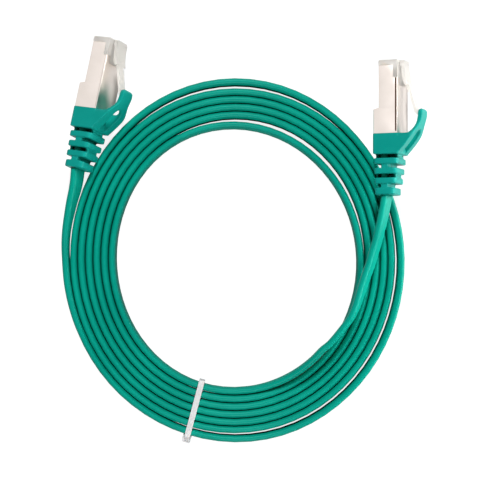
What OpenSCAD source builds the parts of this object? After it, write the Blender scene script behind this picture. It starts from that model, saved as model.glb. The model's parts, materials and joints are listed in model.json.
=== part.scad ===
// Flat shielded Ethernet patch cable, 2 m long, coiled on edge and held by a cable tie.
// Each end has a moulded snagless boot and a metal-shelled 8-position modular plug.
// Millimetres, +Z up. The cable lies on the plane z = 0, and the origin is under the
// middle of the whole coiled cable.
//
// Each plug is drawn in its own frame, then laid in place: +Y runs from the boot's last
// ring to the plug's nose, X is the plug's 11.7 mm width, and +Z is the latch side.

/* [Cable] */
// Width of the flat cable
cable_w = 7.2; // [6.8:0.1:7.4]
// Thickness of the flat cable
cable_t = 2.3; // [2.2:0.05:2.4]
// Thickness of the cable's jacket
jacket_wall = 0.3; // [0.25:0.01:0.33]
// Diameter of one insulated wire
wire_d = 0.75; // [0.6:0.01:0.78]
// Diameter of one copper conductor
core_d = 0.26; // [0.2:0.01:0.32]
// Diameter of the bare drain wire
drain_d = 0.28; // [0.2:0.01:0.3]
// Thickness of the foil round each pair
foil_t = 0.04; // [0.03:0.005:0.05]

/* [Coil] */
// Mean radius of the outermost turn at its start
coil_r = 58.8; // [56:0.1:62]
// How far the coil is stretched along Y and flattened along X
coil_oval = 2; // [0:0.1:3]
// Air between one turn and the next
turn_gap = 0.3; // [0.26:0.01:0.5]
// How far the outer turn bows out at the lower right
outer_bow = 0.7; // [0:0.1:1]
// How far the outer turn bows out at the top
top_bow = 0.8; // [0:0.1:1]
// How far the inner turn bows in at the upper right
inner_bow = 1.1; // [0:0.1:1.5]

/* [Cable tie] */
// Direction of the tie from the coil's middle, in degrees
tie_angle = 255; // [250:1:258]
// Width of the tie's strap
strap_w = 1.9; // [1.6:0.1:2.5]
// Thickness of the tie's strap
strap_t = 0.9; // [0.8:0.05:1.1]
// Width of the tie's head, across the strap
tie_head_w = 2.9; // [2.8:0.1:3.6]
// Depth of the tie's head, away from the coil
tie_head_d = 2.4; // [2.2:0.1:3]
// Height of the tie's head, along the strap
tie_head_h = 3.6; // [3:0.1:4.5]
// Length of cut tail that stands out of the head
tie_stub = 0.5; // [0.3:0.1:1.5]

/* [Plug shell] */
// Width of the plug
plug_w = 11.7; // [11.5:0.05:12]
// Thickness of the plug at its rear
plug_h = 8.4; // [8.2:0.05:8.8]
// Thickness of the plug's front, the part that goes into the jack
front_h = 6.5; // [6.4:0.05:6.7]
// Length of the plug from the boot to the nose
plug_len = 24.3; // [24:0.1:26]
// Length of the thick rear of the plug
step_len = 8.5; // [8.2:0.1:9.2]
// Thickness of the shell's sheet metal
sheet_t = 0.3; // [0.2:0.01:0.35]
// Length of clear housing that stands out of the shell
nose_len = 1.8; // [1.6:0.1:2.2]
// Length of the notch at the front of each side wall
notch_len = 4.1; // [3.8:0.1:4.3]
// Height of the notch at the front of each side wall
notch_h = 1.5; // [1.3:0.05:1.6]
// Width of the cut-out in front of the latch-side plate
plate_cut_w = 6.8; // [6.6:0.1:7.2]
// Length of the cut-out in front of the latch-side plate
plate_cut_len = 2.3; // [2.2:0.1:2.7]
// Width of the slot between the latch-side plate and each side wall
seam_w = 0.25; // [0.15:0.01:0.35]
// Length of the contact window in the shell, from the nose
window_len = 8.1; // [7.6:0.1:8.6]
// Diameter of the contact dimples pressed in the shell
dimple_d = 1.2; // [1:0.1:1.4]
// Length of the crimped tail that grips the cable
crimp_len = 6; // [5:0.1:6.4]
// Wall of the crimped tail
crimp_wall = 0.45; // [0.4:0.01:0.5]

/* [Plug inside] */
// Room for the pairs between the shell's rear wall and the clear housing
rear_room = 2; // [1.6:0.1:2.4]
// Distance between neighbouring contacts
contact_pitch = 1.02; // [1:0.01:1.04]
// Thickness of one contact blade
blade_t = 0.32; // [0.25:0.01:0.36]
// Length of one contact blade
blade_len = 3; // [2.8:0.1:3.2]
// Distance from the nose to the contact blades
blade_set_back = 1.2; // [1:0.05:1.4]
// Depth of the blades' outer edges below the contact face
blade_recess = 0.55; // [0.4:0.05:0.65]
// Depth of the row of wires below the contact face
row_depth = 3.1; // [2.9:0.05:3.2]
// Length of the load bar that keeps the wires in line
bar_len = 6; // [5:0.1:6.5]
// Height of the load bar
bar_h = 2.2; // [1.8:0.05:2.4]
// Width of the load bar
bar_w = 8.6; // [8.4:0.05:8.8]

/* [Latch] */
// Width of the latch's catch
catch_w = 6; // [5.8:0.05:6.2]
// Distance from the nose to the catch's shoulders
catch_len = 8.1; // [7.8:0.1:8.1]
// Width of the latch's lever
lever_w = 3.2; // [3:0.1:3.6]
// Distance from the nose to the lever's tip
latch_len = 17.8; // [17.2:0.1:18]
// Thickness of the latch
latch_t = 1.1; // [0.9:0.05:1.2]
// Slope of the catch, in degrees
catch_slope = 8; // [7:0.5:8]
// Slope of the lever, in degrees
lever_slope = 18; // [16:0.5:18]
// Radius of the latch's rounded root
latch_root_r = 0.75; // [0.7:0.01:0.8]

/* [Boot] */
// Length of the boot's body, from its first gap to the plug
boot_body_len = 6.8; // [6.7:0.1:8]
// How far the boot stands proud of the plug all round
boot_proud = 0.2; // [0.1:0.05:0.4]
// Radius of the boot's long edges
boot_edge_r = 1; // [0.6:0.1:1.4]
// Number of thin rings before the end ring
ring_count = 3; // [2:1:4]
// Length of one thin ring
ring_len = 1.7; // [1.5:0.05:1.9]
// Length of the gap between rings
ring_gap = 1.5; // [1.3:0.05:1.7]
// Length of the end ring
end_ring_len = 2.3; // [2:0.1:3]
// Width of the end ring
end_ring_w = 9.2; // [8.8:0.1:9.6]
// Width of the boot's rings where they meet its body
root_ring_w = 11.2; // [10.8:0.1:11.6]
// Thickness of the end ring
end_ring_h = 6.4; // [6.2:0.1:6.8]
// Thickness of the boot's rings where they meet its body
root_ring_h = 7.5; // [7.2:0.1:7.9]
// Width of the webs that join the rings at the cable's edges
web_w = 2.3; // [2:0.1:2.6]
// Width of the webs that join the rings at the cable's flat faces
face_web_w = 4.6; // [4:0.1:5.2]
// Depth of the webs inside the rings' outline
web_inset = 0.3; // [0.2:0.05:0.5]
// Distance from the plug's middle plane to the cable's middle
cable_drop = 1.3; // [1.1:0.05:1.4]

/* [Latch guard] */
// Width of the guard at its root
guard_w = 10.5; // [9.6:0.1:11]
// Width of the guard at its tip
guard_tip_w = 5.8; // [5:0.1:6.2]
// Reach of the guard's tip past the boot's front edge
guard_reach = 8.2; // [8:0.1:8.8]
// Height of the guard's back above the boot
guard_rise = 7.6; // [7.5:0.1:8.4]
// Thickness of the guard at its tip
guard_t = 1.6; // [1.3:0.05:1.7]
// Radius of the guard's rounded root
guard_root_r = 1.7; // [1.5:0.05:1.8]
// Width of the slot between the guard's two legs
guard_slot_w = 2.6; // [2:0.1:3]
// Length of closed guard between the slot and the tip
guard_bridge = 6.2; // [5.5:0.1:6.5]

/* [Lay of the plugs] */
// How far the left plug's latch tips up from level, in degrees
left_tip = 27; // [24:0.5:30]
// Turn of the left plug from the Y axis, in degrees
left_yaw = -11.5; // [-13:0.5:-10]
// Slope of the left plug, nose down, in degrees
left_pitch = -6; // [-7.5:0.5:-6]
// How far the right plug's latch tips up from level, in degrees
right_tip = 21.5; // [18:0.5:25]
// Turn of the right plug from the Y axis, in degrees
right_yaw = 0; // [-2:0.5:2]
// Slope of the right plug, nose down, in degrees
right_pitch = -2.5; // [-4:0.5:-1]

/* [Hidden] */

$fn = 32;
// Distance that a cutting shape runs past the face it cuts
past = 0.5;
// Running clearance between pieces that fit together
fit = 0.05;

teal = [0.05, 0.62, 0.55];
clear = [0.93, 0.94, 0.95, 0.55];
steel = [0.84, 0.80, 0.76];
gold = [0.85, 0.68, 0.30];
copper = [0.78, 0.47, 0.30];
foil = [0.80, 0.81, 0.83];

// Middle of the coil
coil_x = -3.3;
coil_y = -6.7;
// Direction of the outer turn's start from the coil's middle
coil_from = 165;
// Turned angle at which the coil leaves the left tail, and meets the right one
coil_start = 45;
coil_end = 2265;
// Turned angle between two points of the coil
coil_step = 7.5;
coil_pitch = cable_t + turn_gap;

// Outermost points of the coil's mean turn, level with its top
left_side = [coil_x - coil_r, coil_y, cable_w];
right_side = [coil_x + coil_r, coil_y, cable_w];

// Middle of each boot's end face, in plan
left_at = [left_side[0] + 7.6, left_side[1] + 29.85];
right_at = [right_side[0] - 6.9, right_side[1] + 21.25];

// Stations along the plug's frame
relief_len = end_ring_len + ring_count*ring_len + (ring_count + 1)*ring_gap;
boot_y = relief_len + boot_body_len;
nose_y = boot_y + plug_len;
shell_y = nose_y - nose_len;
step_y = boot_y + step_len;
step_run = 0.5;
notch_y = shell_y - notch_len;
window_y = nose_y - window_len;
housing_y = boot_y + sheet_t + rear_room;
crimp_y = boot_y - crimp_len;

// Levels through the plug's frame
top_z = plug_h/2;
rear_z = -plug_h/2;
face_z = top_z - front_h;
cable_z = -cable_drop;
row_z = face_z + row_depth;

// Clear housing inside the shell
inner_w = plug_w - 2*(sheet_t + fit);
inner_z0 = face_z + sheet_t + fit;
inner_z1 = top_z - sheet_t - fit;
nose_bevel = 0.4;

// Row of contacts, and the channel that the wires lie in
contact_count = 8;
row_w = contact_count*contact_pitch;
blade_y = nose_y - blade_set_back;
channel_gap = 0.2;
wire_end_y = blade_y - 0.2;
channel_end_y = blade_y + fit;
funnel_len = 5.5;
bar_y = blade_y - blade_len - 1.6;
bar_z0 = row_z - bar_h/2;

// Pairs inside the jacket
bore_w = cable_w - 2*jacket_wall;
bore_h = cable_t - 2*jacket_wall;
pair_pitch = bore_w/4;
pair_d = min(pair_pitch, bore_h) - 0.04;
wire_gap = 0.01;
jacket_in_crimp = 2.2;
jacket_end_y = crimp_y + jacket_in_crimp;
bore_len = 7;
bore_y = jacket_end_y - bore_len;
foil_gap = 0.4;
foil_end_y = boot_y - foil_gap;
bend_y = boot_y + foil_gap;
bend_gap = 0.6;
bend_end_y = bar_y - bar_len - bend_gap;
wire_hop = 0.95;

// Latch
latch_axis_y = nose_y - latch_root_r - 0.55;
latch_axis_z = top_z + latch_root_r - 0.05;
latch_bend_y = nose_y - 6.5;
catch_y = nose_y - catch_len;
latch_tip_y = nose_y - latch_len;
pocket_depth = 0.5;

// Boot and guard
boot_w = plug_w + 2*boot_proud;
boot_h = plug_h + 2*boot_proud;
boot_top = boot_h/2;
guard_axis_y = boot_y - 2.7;
guard_axis_z = boot_top + guard_root_r - 0.4;
guard_back_z = boot_top + guard_rise;
guard_end_y = boot_y + guard_reach;
saddle_rear_y = boot_y - 6.3;
ring_edge_r = 1.5;
// Station of the ring that lies on the coil
ring_rest_y = 8.7;

// ---------------------------------------------------------------- shared shapes

// An outline in X and Z, drawn out along Y
module along_y(from, to) {
    translate([0, to, 0]) rotate([90, 0, 0]) linear_extrude(to - from) children();
}

// An outline in Y and Z, drawn out along X and centred on it
module across_x(width) {
    translate([-width/2, 0, 0]) rotate([90, 0, 90]) linear_extrude(width) children();
}

// A box between two corners
module block(low, high) {
    translate(low) cube(high - low);
}

// A flat shape with two round ends
module oblong(w, h) {
    square([w - h, h], center = true);
    for (side = [-1, 1]) translate([side*(w - h)/2, 0]) circle(d = h);
}

// A rectangle between two corners, with round corners
module round_rect(low, high, r) {
    a = low + [r, r];
    b = high - [r, r];
    centres = [b, [a[0], b[1]], a, [b[0], a[1]]];
    polygon([for (i = [0:3], turn = [0:18:90])
        centres[i] + r*[cos(90*i + turn), sin(90*i + turn)]]);
}

// A round bar across the plug
module cross_pin(y, z, r, width) {
    translate([-width/2, y, z]) rotate([0, 90, 0]) cylinder(r = r, h = width);
}

// A point of a cubic curve with four control points
function curve(p, t) =
    pow(1 - t, 3)*p[0] + 3*t*pow(1 - t, 2)*p[1] + 3*t*t*(1 - t)*p[2] + pow(t, 3)*p[3];
function curve_points(p, steps) = [for (i = [0:steps]) curve(p, i/steps)];

function unit(v) = v/norm(v);

// One ring of a swept solid: profile points set on two axes about a point
function ring(at, u, v, profile) = [for (q = profile) at + q[0]*u + q[1]*v];

// A closed solid through rings that all have the same number of points
module skin(rings) {
    n = len(rings[0]);
    last = len(rings) - 1;
    sides = [for (i = [0:last - 1], j = [0:n - 1], half = [0, 1])
        let (a = i*n + j, b = i*n + (j + 1) % n)
        half == 0 ? [a, b, b + n] : [a, b + n, a + n]];
    caps = [[for (j = [n - 1:-1:0]) j], [for (j = [0:n - 1]) last*n + j]];
    polyhedron([for (r = rings) each r], concat(sides, caps));
}

// Round profile
function round_profile(r, sides) =
    [for (i = [0:sides - 1]) r*[cos(360*i/sides), sin(360*i/sides)]];

// Profile of the flat cable: its width on the first axis, its thickness on the second
function cable_profile() = [
    for (side = [1, -1], a = [-90:36:90])
        side*[(cable_w - cable_t)/2 + cable_t/2*cos(a), cable_t/2*sin(a)]
];

// ---------------------------------------------------------------- lay of the plugs

// Height of a plug's axis at the boot's end face, with the nose's lowest corner at z = 0
function floor_rise(pitch, tip) =
    -nose_y*sin(pitch) + cos(pitch)*(plug_w/2*cos(tip) - face_z*sin(tip));

// The same height with the boot's rings lying on the coil
function coil_rise(pitch, tip) =
    let (half_w = ring_w(ring_rest_y/relief_len)/2 - ring_edge_r, drop = boot_top - ring_edge_r)
    cable_w + 2*fit - ring_rest_y*sin(pitch)
    + cos(pitch)*(half_w*cos(tip) + drop*sin(tip) + ring_edge_r);

// A point or direction of the plug's frame, turned as the plug lies
function turned(p, yaw, pitch, tip) =
    let (a = p[0]*sin(tip) + p[2]*cos(tip), b = p[2]*sin(tip) - p[0]*cos(tip))
    let (c = p[1]*cos(pitch) - b*sin(pitch), d = p[1]*sin(pitch) + b*cos(pitch))
    [a*cos(yaw) - c*sin(yaw), a*sin(yaw) + c*cos(yaw), d];

module lay(at, yaw, pitch, tip) {
    translate(at) rotate([0, 0, yaw]) rotate([pitch, 0, 0]) rotate([0, 90 - tip, 0]) children();
}

// Middle of each boot's end face
left_end = [left_at[0], left_at[1], floor_rise(left_pitch, left_tip)];
right_end = [right_at[0], right_at[1], coil_rise(right_pitch, right_tip)];

module on_left() {
    lay(left_end, left_yaw, left_pitch, left_tip) children();
}

module on_right() {
    lay(right_end, right_yaw, right_pitch, right_tip) children();
}

// Point where the cable leaves each boot
left_exit = left_end + turned([0, 0, cable_z], left_yaw, left_pitch, left_tip);
right_exit = right_end + turned([0, 0, cable_z], right_yaw, right_pitch, right_tip);

// ---------------------------------------------------------------- cable

// A smooth bump of height 1 about a turned angle
function bump(turn, middle, reach) =
    abs(turn - middle) < reach ? pow(cos(90*(turn - middle)/reach), 2) : 0;

function coil_radius(turn) =
    coil_r - coil_pitch*turn/360 - coil_oval*cos(2*(coil_from + turn))
    + outer_bow*bump(turn, 130, 60) + top_bow*bump(turn, 285, 60)
    - inner_bow*bump(turn, 2055, 75);

function coil_point(turn) =
    [coil_x, coil_y] + coil_radius(turn)*[cos(coil_from + turn), sin(coil_from + turn)];

// Direction in which the coil runs, and the direction to its left
function coil_heading(turn) = unit(coil_point(turn + 1) - coil_point(turn - 1));
function coil_side(turn) = [-coil_heading(turn)[1], coil_heading(turn)[0]];

// The coil standing on edge: one flat ribbon wound inwards, notched over the tie's strap
module cable_coil() {
    turns = [coil_start:coil_step:coil_end];
    back = [coil_end:-coil_step:coil_start];
    inside = [for (turn = turns) coil_point(turn) + cable_t/2*coil_side(turn)];
    outside = [for (turn = back) coil_point(turn) - cable_t/2*coil_side(turn)];
    color(teal) difference() {
        linear_extrude(cable_w) polygon(concat(inside, outside));
        at_tie() block([strap_in, -strap_w/2 - fit, -past], [strap_out, strap_w/2 + fit, strap_t]);
    }
}

// Rings of a free stretch of cable through a route of [point, lean], where lean is how far
// the cable's upper edge tips to the left of its heading, and the headings of both ends
function heading(route, i, first, last) =
    i == 0 ? first : i == len(route) - 1 ? last
    : unit(route[i + 1][0] - route[i - 1][0]);

function cable_rings(route, first, last) = [
    for (i = [0:len(route) - 1])
    let (
        ahead = heading(route, i, first, last),
        left = unit([-ahead[1], ahead[0], 0]),
        up = cross(ahead, left),
        lean = route[i][1]
    )
    ring(route[i][0], cos(lean)*up + sin(lean)*left, cos(lean)*left - sin(lean)*up,
        cable_profile())
];

function on_coil(turn, rise) = [coil_point(turn)[0], coil_point(turn)[1], cable_w/2 + rise];
function flat_heading(turn) = [coil_heading(turn)[0], coil_heading(turn)[1], 0];

// Left tail: down from the boot to the coil's outer turn. [point, lean], with the free
// points measured from the coil's left side and the others up from the coil's middle plane
left_route = concat(
    [[left_exit, -left_tip]],
    [
        [left_side + [6.1, 26.4, 3.4], -24],
        [left_side + [5.5, 23, 3.55], -20.5],
        [left_side + [4.6, 19.5, 3.4], -16],
        [left_side + [3.8, 16, 2.9], -11.5],
        [left_side + [3, 12.2, 2.1], -7],
        [left_side + [2.4, 8.4, 1.1], -4.5],
        [left_side + [2.1, 4.4, 0], -2.5]
    ],
    [
        [on_coil(15, 2.5), -1.5],
        [on_coil(22.5, 1.6), -1],
        [on_coil(30, 0.9), -0.5],
        [on_coil(37.5, 0.3), 0]
    ],
    [[on_coil(coil_start, 0), 0]]
);

// Right tail: up from the coil's inner turn, across the other turns and into the boot, with
// the free points measured from the coil's right side, half a cable above its top
over = [0, 0, cable_w/2];
right_route = concat(
    [[on_coil(coil_end, 0), 0]],
    [
        [on_coil(coil_end + 7.5, 0.25), 0],
        [on_coil(coil_end + 15, 1), 0],
        [on_coil(coil_end + 22.5, 2.2), 0],
        [on_coil(coil_end + 30, 3.8), 1],
        [on_coil(coil_end + 37.5, 5.5), 2],
        [on_coil(coil_end + 44, 6.9), 3]
    ],
    [
        [right_side + over + [-26.6, -27.9, 0.15], 4],
        [right_side + over + [-22.6, -23.1, 0.2], 5],
        [right_side + over + [-19.9, -19.5, 0.2], 8],
        [right_side + over + [-17.9, -15, 0.1], 12],
        [right_side + over + [-16.3, -10, 0.1], 16],
        [right_side + over + [-14.9, -5.8, 0.1], 17],
        [right_side + over + [-13.5, -1.8, 0.1], 18],
        [right_side + over + [-12.1, 3, 0.3], 19],
        [right_side + over + [-10.8, 7.8, 1], 19],
        [right_side + over + [-9.7, 12.5, 1.9], 20],
        [right_side + over + [-8.8, 16.9, 2.35], 21]
    ],
    [[right_exit, right_tip]]
);

module left_cable_tail() {
    into_boot = turned([0, 1, 0], left_yaw, left_pitch, left_tip);
    color(teal) skin(cable_rings(left_route, -into_boot, flat_heading(coil_start)));
}

module right_cable_tail() {
    into_boot = turned([0, 1, 0], right_yaw, right_pitch, right_tip);
    color(teal) skin(cable_rings(right_route, flat_heading(coil_end), into_boot));
}

// ---------------------------------------------------------------- cable tie

// Turned angles at which the outermost and the innermost turn pass under the tie
tie_first = tie_angle - coil_from;
tie_last = tie_first + 6*360;
tie_gap = 0.15;
strap_in = coil_radius(tie_last) - cable_t/2 - tie_gap;
strap_out = coil_radius(tie_first) + cable_t/2 + tie_gap;
rung_pitch = 0.95;
rung_len = 0.5;
rung_depth = 0.15;
rung_w = strap_w - 0.8;

module at_tie() {
    translate([coil_x, coil_y, 0]) rotate([0, 0, tie_angle]) children();
}

// Strap and head of the tie are one moulding, with ladder rungs along the strap
module cable_tie() {
    top = cable_w;
    head_x = strap_out + strap_t/2;
    head_z = top - strap_t - tie_head_h + 0.1;
    color([0.95, 0.96, 0.97, 0.8]) at_tie() {
        difference() {
            strap_loop(top);
            for (x = [strap_in + 1:rung_pitch:strap_out - 1]) {
                block([x, -rung_w/2, top + strap_t - rung_depth],
                    [x + rung_len, rung_w/2, top + strap_t + past]);
            }
        }
        difference() {
            tie_head(head_x, head_z);
            block([strap_out - fit, -strap_w/2 - 0.1, head_z + 1.2],
                [strap_out + strap_t + 0.1, strap_w/2 + 0.1, head_z + tie_head_h + past]);
        }
    }
}

// The strap goes once round all the turns, and its cut end stands out of the head
module strap_loop(top) {
    corner = 0.8;
    rotate([90, 0, 0]) translate([0, 0, -strap_w/2]) linear_extrude(strap_w) difference() {
        union() {
            round_rect([strap_in - strap_t, 0], [strap_out + strap_t, top + strap_t], corner);
            translate([strap_in, 0]) square([strap_out - strap_in, strap_t]);
        }
        translate([strap_in, strap_t]) square([strap_out - strap_in, top - strap_t]);
    }
    block([strap_out + strap_t/2, -strap_w/2, top - strap_t],
        [strap_out + strap_t + tie_stub, strap_w/2, top]);
}

module tie_head(x, z) {
    bevel = 0.4;
    translate([0, 0, z]) linear_extrude(tie_head_h) polygon([
        [strap_out, -tie_head_w/2],
        [strap_out + tie_head_d - bevel, -tie_head_w/2],
        [strap_out + tie_head_d, -tie_head_w/2 + bevel],
        [strap_out + tie_head_d, tie_head_w/2 - bevel],
        [strap_out + tie_head_d - bevel, tie_head_w/2],
        [strap_out, tie_head_w/2]
    ]);
}

// ---------------------------------------------------------------- boot

// Section of a boot ring: share is 0 at the end face and 1 at the body
function ring_w(share) = end_ring_w + share*(root_ring_w - end_ring_w);
function ring_h(share) = end_ring_h + share*(root_ring_h - end_ring_h);

module ring_section(share) {
    round_rect([-ring_w(share)/2, -boot_top],
        [ring_w(share)/2, ring_h(share) - boot_top], ring_edge_r);
}

module relief_rings() {
    along_y(0, end_ring_len) ring_section(0);
    for (i = [1:ring_count]) {
        y = end_ring_len + ring_gap*i + ring_len*(i - 1);
        along_y(y, y + ring_len) ring_section((y + ring_len)/relief_len);
    }
}

// Webs across the gaps: at the cable's edges in one gap, at its flat faces in the next, so
// that the relief bends both ways
module relief_webs() {
    for (i = [0:ring_count]) {
        y = end_ring_len + i*(ring_gap + ring_len);
        share = y/relief_len;
        low = web_inset - boot_top;
        high = ring_h(share) - boot_top - web_inset;
        web_out = ring_w(share)/2 - web_inset;
        along_y(y - fit, y + ring_gap + fit) {
            if (i % 2 == 0) {
                translate([-web_out, (low + high - web_w)/2]) square([2*web_out, web_w]);
            } else {
                translate([-face_web_w/2, low]) square([face_web_w, high - low]);
            }
        }
    }
}

module boot_shape() {
    crimp_w = cable_w + 2*(fit + crimp_wall);
    crimp_h = cable_t + 2*(fit + crimp_wall);
    difference() {
        union() {
            along_y(relief_len, boot_y) {
                round_rect([-boot_w/2, -boot_top], [boot_w/2, boot_top], boot_edge_r);
            }
            saddle();
            relief_rings();
            relief_webs();
        }
        along_y(-past, boot_y + past) {
            translate([0, cable_z]) oblong(cable_w + 2*fit, cable_t + 2*fit);
        }
        along_y(crimp_y - fit, boot_y + past) {
            translate([0, cable_z]) oblong(crimp_w + 2*fit, crimp_h + 2*fit);
        }
        cross_pin(guard_axis_y, guard_axis_z, guard_root_r + fit, boot_w);
    }
}

// Ramp on the boot's latch side that carries the guard's rounded root
module saddle() {
    rear_top = guard_axis_z + guard_root_r*0.3;
    across_x(guard_w) polygon([
        [saddle_rear_y, boot_top - 1],
        [saddle_rear_y, boot_top],
        [guard_axis_y - guard_root_r*1.15, rear_top],
        [guard_axis_y, rear_top],
        [guard_axis_y, guard_axis_z],
        [boot_y, guard_axis_z],
        [boot_y, boot_top - 1]
    ]);
}

// Guard that arches over the latch's tip: two legs that join in a tongue
module guard_shape() {
    difference() {
        intersection() {
            union() {
                across_x(guard_w) guard_side();
                cross_pin(guard_axis_y, guard_axis_z, guard_root_r, guard_w);
            }
            translate([0, 0, boot_top - 1]) linear_extrude(guard_rise + 2) guard_plan();
        }
        block([-guard_slot_w/2, saddle_rear_y, boot_top - 1],
            [guard_slot_w/2, guard_end_y - guard_bridge - guard_slot_w/2, guard_back_z + past]);
        translate([0, guard_end_y - guard_bridge - guard_slot_w/2, boot_top - 1]) {
            cylinder(d = guard_slot_w, h = guard_rise + 2);
        }
    }
}

// Side view of the guard's arm: back from the root to the tip, round tip, underside
module guard_side() {
    axis = [guard_axis_y, guard_axis_z];
    tip_r = guard_t/2;
    tip = [guard_end_y - tip_r, guard_back_z - tip_r];
    start = axis + 0.9*guard_root_r*[cos(129), sin(129)];
    finish = axis + 0.9*guard_root_r*[cos(25), sin(25)];
    back = curve_points([start, start + [2.7, 2.4], tip + [-4.6, tip_r], tip + [0, tip_r]], 8);
    under = curve_points([tip - [0, tip_r], tip + [-3.6, -tip_r],
        finish + [2.1, 2.8], finish], 8);
    nose = [for (a = [60:-30:-60]) tip + tip_r*[cos(a), sin(a)]];
    polygon(concat(back, nose, under));
}

// Plan of the guard: straight root, drawn in to a narrow round-cornered tip
module guard_plan() {
    tip_r = guard_tip_w/2 - 0.6;
    corner = [guard_tip_w/2 - tip_r, guard_end_y - tip_r];
    flank = curve_points([[guard_w/2, guard_axis_y], [guard_w/2, boot_y + 1],
        [guard_tip_w/2, boot_y + 2], [guard_tip_w/2, corner[1]]], 8);
    round = [for (a = [22.5:22.5:90]) corner + tip_r*[cos(a), sin(a)]];
    half = concat([[guard_w/2, saddle_rear_y]], flank, round);
    polygon(concat(half, [for (i = [len(half) - 1:-1:0]) [-half[i][0], half[i][1]]]));
}

// ---------------------------------------------------------------- cable end

// End of the jacket, straight through the boot and into the shell's crimp
module jacket_end_shape() {
    difference() {
        along_y(0, jacket_end_y) translate([0, cable_z]) oblong(cable_w, cable_t);
        along_y(bore_y, jacket_end_y + past) translate([0, cable_z]) oblong(bore_w, bore_h);
    }
}

function pair_x(pair) = (pair - 1.5)*pair_pitch;
function row_x(place) = (place - (contact_count - 1)/2)*contact_pitch;

// Foil wrapped round each of the four pairs
module pair_foils_shape() {
    for (pair = [0:3]) {
        along_y(bore_y + fit, foil_end_y) translate([pair_x(pair), cable_z]) difference() {
            circle(d = pair_d);
            circle(d = pair_d - 2*foil_t);
        }
    }
}

// Route of one wire: straight in the jacket, an S-bend, straight under its contact.
// hop lifts the middle of the bend over the wires that it crosses
function wire_route(from_x, to_x, hop) = concat(
    [[from_x, bore_y + fit, cable_z]],
    [for (i = [0:6])
        let (t = i/6, s = (1 - cos(180*t))/2)
        [from_x + s*(to_x - from_x), bend_y + t*(bend_end_y - bend_y),
            cable_z + s*(row_z - cable_z) + hop*sin(180*t)]],
    [[to_x, wire_end_y, row_z]]
);

// Two insulated wires of one pair, pierced by their contacts and bored for their cores
module wire_pair(pair, places, hops) {
    sides = 8;
    for (i = [0, 1]) {
        from_x = pair_x(pair) + (i - 0.5)*(wire_d + wire_gap);
        to_x = row_x(places[i]);
        profile = round_profile(wire_d/2, sides);
        route = wire_route(from_x, to_x, hops[i]);
        difference() {
            skin([for (p = route) ring(p, [1, 0, 0], [0, 0, 1], profile)]);
            core_hole(to_x);
            block([to_x - blade_t/2 - 0.02, blade_y - blade_len - fit, row_z - wire_d],
                [to_x + blade_t/2 + 0.02, wire_end_y + past, row_z - core_d/2]);
        }
    }
}

core_y = bar_y - 1;

module core_hole(x) {
    translate([x, core_y - fit, row_z]) rotate([-90, 0, 0]) {
        cylinder(d = core_d + 0.02, h = wire_end_y - core_y + past, $fn = 16);
    }
}

module orange_wires_shape() {
    wire_pair(0, [0, 1], [0, 0]);
}

module green_wires_shape() {
    wire_pair(1, [2, 5], [0, wire_hop]);
}

module blue_wires_shape() {
    wire_pair(2, [3, 4], [0, 0]);
}

module brown_wires_shape() {
    wire_pair(3, [6, 7], [0, 0]);
}

// Copper cores, drawn over the stretch that the contacts bite into
module copper_cores_shape() {
    for (place = [0:contact_count - 1]) {
        translate([row_x(place), core_y, row_z]) rotate([-90, 0, 0]) {
            cylinder(d = core_d, h = wire_end_y - core_y, $fn = 16);
        }
    }
}

// Level of the drain wire between the foils, and folded back on the jacket
drain_z = cable_z + bore_h/2 - drain_d/2 - 0.02;
drain_back_z = cable_z + cable_t/2 + drain_d/2 + 0.02;

// Bare drain wire: out of the jacket and folded back over it, under the crimp
module drain_wire_shape() {
    middle = (drain_z + drain_back_z)/2;
    reach = (drain_back_z - drain_z)/2;
    turn_y = jacket_end_y + fit + drain_d/2;
    bend = [for (a = [-90:45:90]) [0, turn_y + reach*cos(a), middle + reach*sin(a)]];
    route = concat([[0, bore_y + fit, drain_z]], bend, [[0, crimp_y + 0.3, drain_back_z]]);
    skin([for (i = [0:len(route) - 1])
        let (
            before = route[max(i - 1, 0)],
            after = route[min(i + 1, len(route) - 1)],
            ahead = unit(after - before)
        )
        ring(route[i], [1, 0, 0], cross([1, 0, 0], ahead), round_profile(drain_d/2, 8))]);
}

// ---------------------------------------------------------------- plug

// Side view of the shell's outside or, with the sheet's thickness taken off, its inside
module shell_side(t, front) {
    polygon([
        [boot_y + t, rear_z + t],
        [step_y - step_run - t, rear_z + t],
        [step_y - t, face_z + t],
        [front, face_z + t],
        [front, top_z - t],
        [boot_y + t, top_z - t]
    ]);
}

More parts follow.
